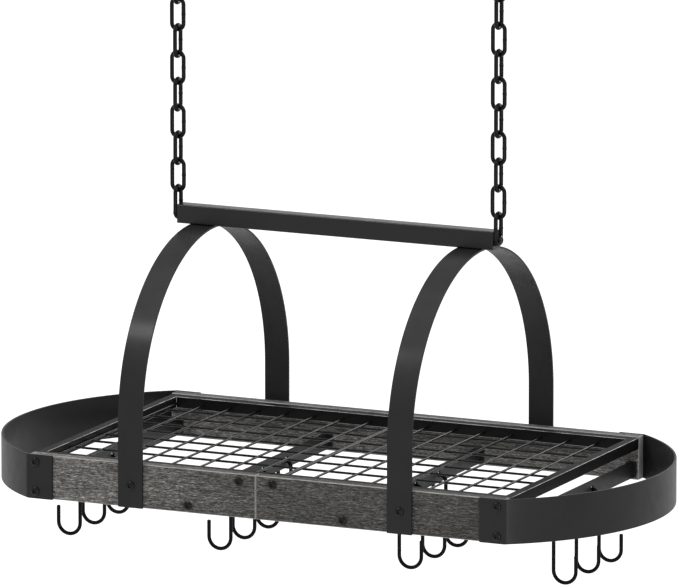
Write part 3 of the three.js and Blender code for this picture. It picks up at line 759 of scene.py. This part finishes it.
def chain_link(name, body, material):
    """A link in X and Z or in Y and Z, with the collar of its butt weld on one leg."""
    low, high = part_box(name)
    middle = (low + high) / 2
    if high.x - low.x > high.y - low.y:
        across, normal = Vector((1, 0, 0)), (0, 1, 0)
    else:
        across, normal = Vector((0, 1, 0)), (1, 0, 0)
    radius = (LINK_WIDTH - LINK_WIRE) / 2
    straight = (high.z - low.z - LINK_WIRE) / 2 - radius
    flat = arc((0, straight), radius, 0, math.pi, LINK_STEPS)
    flat += arc((0, -straight), radius, math.pi, 2 * math.pi, LINK_STEPS)
    bm = bmesh.new()
    route = [middle + across * u + UP * v for u, v in flat]
    add_rod(bm, route, LINK_WIRE / 2, normal, closed=True)
    weld = middle + across * radius
    ends = (weld - UP * LINK_WELD_REACH, weld + UP * LINK_WELD_REACH)
    add_rod(bm, ends, LINK_WIRE / 2 + LINK_WELD_RISE, normal, dome=LINK_WELD_DOME)
    piece(name, mesh_of(name, bm), material, body=body, stands_for=[name])


def ceiling_hook(name, material):
    """A screw hook with its flange against the ceiling."""
    low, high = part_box(name)
    x = math.copysign(CHAIN_X, low.x)
    radius = CEILING_HOOK_RADIUS
    bend = radius / 2
    ring_z = low.z + CEILING_ROD / 2 + radius
    bend_z = ring_z + radius
    flat = [
        (0, high.z - CEILING_FLANGE_THICKNESS),
        *arc((bend, bend_z + bend), bend, math.pi, 1.5 * math.pi, CEILING_BEND_STEPS),
        *arc((bend, bend_z - bend), bend, math.pi / 2, 0, CEILING_BEND_STEPS),
        *arc((0, ring_z), radius, 0, CEILING_HOOK_TIP - 2 * math.pi, CEILING_RING_STEPS),
    ]
    bm = bmesh.new()
    route = [(x + u, 0, v) for u, v in flat]
    add_rod(bm, route, CEILING_ROD / 2, (0, 1, 0), sides=FINE_ROD_SIDES)
    rim = [
        (CEILING_FLANGE / 2 - inward, -CEILING_FLANGE_THICKNESS * down)
        for inward, down in FLANGE_RIM
    ]
    profile = [(0, 0), *rim, (0, -CEILING_FLANGE_THICKNESS)]
    add_turned(bm, profile, Vector((x, 0, high.z)), UP, FLANGE_SIDES)
    piece(name, mesh_of(name, bm), material, body="ceiling_hooks", stands_for=[name])


# ------------------------------------------------------------------ bolts and screws
BOLT_SIDES = 36
BOLT_SMOOTH_BELOW = 28
BOLT_TIP_CHAMFER = 0.4 * MM
BOLT_UNDERCUT = 0.15 * MM
BOLT_RIM_START = 0.2 * MM
BOLT_RIM_END = 0.42  # share of the head's height
BOLT_RIM_LEAN = 0.12 * MM
BOLT_DOME = ((0.9, 0.66), (0.74, 0.88), (0.56, 0.985))  # shares of the head's radius and height
SOCKET_RIM = 1.22  # shares of the socket's corner radius
SOCKET_LIP = 1.06
SOCKET_LIP_DEPTH = 0.12 * MM
SOCKET_WALL_DEPTH = 0.3 * MM

SCREW_SIDES = 28
SCREW_HEAD = 3.6 * MM  # radius
SCREW_SHANK = 2 * MM  # radius
SCREW_DEPTH = 3 * MM
SCREW_NECK = 0.1 * MM
SCREW_DOME = ((1, 0), (1, 0.4 * MM), (0.8, 1.2 * MM), (0.4, 1.7 * MM), (0, 1.8 * MM))


def hexagon_reach(angle):
    """How far a hexagon's side is from its middle at an angle, where its corners are at 1."""
    from_side = (angle + math.pi / 6) % (math.pi / 3) - math.pi / 6
    return math.cos(math.pi / 6) / math.cos(from_side)


def bolt_mesh(name, seat, axis, shank):
    """A button head with a hexagon socket. seat is under the head and axis points out."""
    head = BOLT_HEAD / 2
    height = BOLT_HEAD_HEIGHT
    socket = BOLT_SOCKET / math.sqrt(3)
    profile = [
        (0, -shank),
        (BOLT_SHANK / 2 - BOLT_TIP_CHAMFER, -shank),
        (BOLT_SHANK / 2, BOLT_TIP_CHAMFER - shank),
        (BOLT_SHANK / 2, 0),
        (head - BOLT_UNDERCUT, 0),
        (head, BOLT_RIM_START),
        (head - BOLT_RIM_LEAN, height * BOLT_RIM_END),
        *[(head * out, height * up) for out, up in BOLT_DOME],
        (socket * SOCKET_RIM, height),
    ]
    bm = bmesh.new()
    add_turned(bm, profile, seat, axis, BOLT_SIDES)
    bm.verts.ensure_lookup_table()
    turn = UP.rotation_difference(axis).to_matrix()
    rings = [bm.verts[len(bm.verts) - BOLT_SIDES :]]
    for radius, depth in (
        (socket * SOCKET_LIP, SOCKET_LIP_DEPTH),
        (socket, SOCKET_WALL_DEPTH),
        (socket, BOLT_SOCKET_DEPTH),
    ):
        ring = []
        for angle in full_turn(BOLT_SIDES):
            reach = radius * hexagon_reach(angle)
            spot = Vector((reach * math.cos(angle), reach * math.sin(angle), height - depth))
            ring.append(bm.verts.new(seat + turn @ spot))
        rings.append(ring)
    for ring, following in zip(rings, rings[1:]):
        bridge(bm, ring, following)
    bm.faces.new(rings[-1][::-1])
    return mesh_of(name, bm, BOLT_SMOOTH_BELOW)


def cad_bolt(name, material):
    """Stands for a bolt of the frame: its head is at the end of its box that faces outward."""
    low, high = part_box(name)
    middle = (low + high) / 2
    axis = Vector((0, 1, 0)) if high.y - low.y > high.x - low.x else Vector((1, 0, 0))
    if middle.dot(axis) < 0:
        axis = -axis
    length = abs((high - low).dot(axis))
    seat = middle + axis * (length / 2 - BOLT_HEAD_HEIGHT)
    mesh = bolt_mesh(name, seat, axis, length - BOLT_HEAD_HEIGHT)
    piece(name, mesh, material, stands_for=[name])


def extra_bolt(name, x, face, surface, z, material):
    """A bolt that has no node of its own, on the outer surface of a board or a band."""
    seat = Vector((x, face * (surface + SEAT), z))
    mesh = bolt_mesh(name, seat, Vector((0, face, 0)), BOLT_DEPTH)
    piece(name, mesh, material)


def ceiling_screws(side_name, side, material):
    """The two screws of one ceiling hook's flange."""
    profile = [(0, SCREW_DEPTH), (SCREW_SHANK, SCREW_DEPTH), (SCREW_SHANK, SCREW_NECK)]
    profile += [(SCREW_HEAD * out, -down) for out, down in SCREW_DOME]
    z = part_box(f"ceiling_hook_{side_name}")[1].z - CEILING_FLANGE_THICKNESS
    for number, way in enumerate((-1, 1), 1):
        name = f"ceiling_screw_{side_name}_{number}"
        seat = Vector((side * CHAIN_X, way * CEILING_SCREW_SPACING / 2, z))
        bm = bmesh.new()
        add_turned(bm, profile, seat, UP, SCREW_SIDES)
        piece(name, mesh_of(name, bm), material, body="ceiling_hooks")


# ------------------------------------------------------------------ stage and light
WORLD_LIGHT = 0.70
WHITE = 1.0
FLOOR_DEPTH = 2.4  # a usual ceiling height
FLOOR_REACH = 60
FLOOR_SHADE = 0.88
FLOOR_GLOW = 0.60
LAMPS = (
    # name, place, aim, size, watts
    ("lamp_top", (-0.9, -0.5, 2.0), (0, 0, BOARD_BOTTOM), 2.0, 18),
    ("lamp_key", (-1.43, -1.92, 1.65), (-0.19, -0.19, BOARD_BOTTOM + 0.23), 0.5, 24),
    ("lamp_back", (0.6, 2.7, 0.56), (0, 0, BOARD_BOTTOM), 1.0, 26),
    ("lamp_right", (2.6, -0.7, 1.5), (0.1, 0, BOARD_BOTTOM), 1.5, 34),
    ("lamp_low", (1.6, -1.9, -0.9), (0.3, 0, BOARD_BOTTOM), 0.9, 12),
)


def make_world():
    """A white backdrop that lights the rack less than it shows."""
    world = bpy.data.worlds.new("world")
    world.use_nodes = True
    bpy.context.scene.world = world
    background = world.node_tree.nodes["Background"].inputs
    background["Color"].default_value = opaque(grey(WHITE))
    strength = Nodes(world.node_tree).by_ray(WHITE, WORLD_LIGHT)
    world.node_tree.links.new(strength, background["Strength"])


def floor_material():
    """Matt white that glows where it is seen, so that it shows white. It is open from below,
    so that a view from under the rack shows the rack."""
    material, nodes = new_material("floor")
    matt = nodes.add("ShaderNodeBsdfDiffuse", {"Color": opaque(grey(FLOOR_SHADE))})
    glow = nodes.add("ShaderNodeEmission", {"Strength": nodes.by_ray(FLOOR_GLOW, 0.0)})
    both = nodes.add("ShaderNodeAddShader", {0: matt.outputs[0], 1: glow.outputs[0]})
    clear = nodes.add("ShaderNodeBsdfTransparent")
    below = nodes.add("ShaderNodeNewGeometry").outputs["Backfacing"]
    inputs = {0: below, 1: both.outputs[0], 2: clear.outputs[0]}
    nodes.end_in(nodes.add("ShaderNodeMixShader", inputs))
    return material


def make_floor():
    bm = bmesh.new()
    bmesh.ops.create_grid(bm, x_segments=1, y_segments=1, size=FLOOR_REACH)
    mesh = bpy.data.meshes.new("floor")
    bm.to_mesh(mesh)
    bm.free()
    mesh.materials.append(floor_material())
    floor = bpy.data.objects.new("floor", mesh)
    floor.location.z = -FLOOR_DEPTH
    bpy.context.scene.collection.objects.link(floor)


def make_lights():
    for name, place, aim, size, watts in LAMPS:
        data = bpy.data.lights.new(name, "AREA")
        data.shape = "DISK"
        data.size = size
        data.energy = watts
        lamp = bpy.data.objects.new(name, data)
        lamp.location = place
        lamp.visible_camera = False
        lamp.rotation_mode = "QUATERNION"
        lamp.rotation_quaternion = (Vector(aim) - Vector(place)).to_track_quat("-Z", "Y")
        bpy.context.scene.collection.objects.link(lamp)


# ------------------------------------------------------------------ the whole
bpy.context.scene.view_settings.view_transform = "Standard"
make_camera()
make_world()
make_floor()
make_lights()

# name, darkest and lightest grey, roughness, shine
strip_black = coated_steel("strip_black", 0.004, 0.007, 0.54, 0.19, coat=0.1)
bar_black = coated_steel("bar_black", 0.003, 0.005, 0.32, 0.27)
# The shelf frame's edges take a painted highlight.
shelf_black = coated_steel("shelf_black", 0.002, 0.004, 0.60, 0.05, coat=0.06, painted_edge_highlight=True)
wire_black = coated_steel("wire_black", 0.002, 0.004, 0.36, 0.10, grain=0.6)
rod_black = coated_steel("rod_black", 0.002, 0.003, 0.40, 0.06, grain=2.5)
chain_black = coated_steel("chain_black", 0.002, 0.003, 0.27, 0.10, grain=2.5)
bolt_black = coated_steel("bolt_black", 0.002, 0.003, 0.22, 0.17, grain=2.5)

for side_name, side in SIDES:
    end_band(f"end_band_{side_name}", side, strip_black)
    arch_strap(f"arch_strap_{side_name}", strip_black)
    half_shelf(side_name, side, shelf_black, wire_black)
    ceiling_hook(f"ceiling_hook_{side_name}", rod_black)
    for link in range(1, LINKS + 1):
        place = {1: "bottom_link", LINKS: "top_link"}.get(link, "middle_links")
        chain_link(f"chain_{side_name}_link_{link}", f"chain_{side_name}_{place}", chain_black)
    cad_bolt(f"chain_bolt_{side_name}", bolt_black)
    tab_x = side * (BOARD_END - TAB_BOLT_INSET)
    tab_top = BOARD_TOP - TAB_BOLT_DROP
    low_x = side * OUTER_CROSSBAR_X
    low_z = BOARD_BOTTOM + LOW_BOLT_HEIGHT
    seam_x = SEAM + side * SEAM_BOLT_OFFSET
    seam_z = BOARD_TOP - SEAM_BOLT_DROP
    for face_name, face in FACES:
        where = f"{face_name}_{side_name}"
        cad_bolt(f"strap_bolt_{where}", bolt_black)
        cad_bolt(f"crossbar_bolt_{where}", bolt_black)
        extra_bolt(f"tab_bolt_high_{where}", tab_x, face, STEEL_FACE, tab_top, bolt_black)
        extra_bolt(f"tab_bolt_low_{where}", low_x, face, STEEL_FACE, low_z, bolt_black)
        extra_bolt(f"shelf_bolt_{where}", seam_x, face, BOARD_FACE, seam_z, bolt_black)

top_bar("top_bar", bar_black)
for bar in range(1, CROSSBARS + 1):
    for hook in range(1, HOOKS_A_BAR + 1):
        pot_hook(f"pot_hook_{bar}_{hook}", rod_black)
for side_name, side in SIDES:
    ceiling_screws(side_name, side, bolt_black)

WOOD = (
    # node, seed, lightness at its left end, lightness at its right end: partly the board's own,
    # partly painted light
    ("board_front_left", 1, 1.12, 0.43),
    ("board_front_right", 2, 0.475, 0.32),
    ("board_back_left", 3, 0.76, 0.66),
    ("board_back_right", 4, 0.58, 0.90),
)
for name, seed, *end_tones_and_painted_light in WOOD:
    low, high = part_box(name)
    board(name, grey_wood(f"wood_{name}", seed, (low.x, high.x), end_tones_and_painted_light))

for bar in range(1, CROSSBARS + 1):
    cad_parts[f"crossbar_{bar}"].data.materials[0] = strip_black
for side_name, side in SIDES:
    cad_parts[f"bar_plug_{side_name}"].data.materials[0] = bar_black
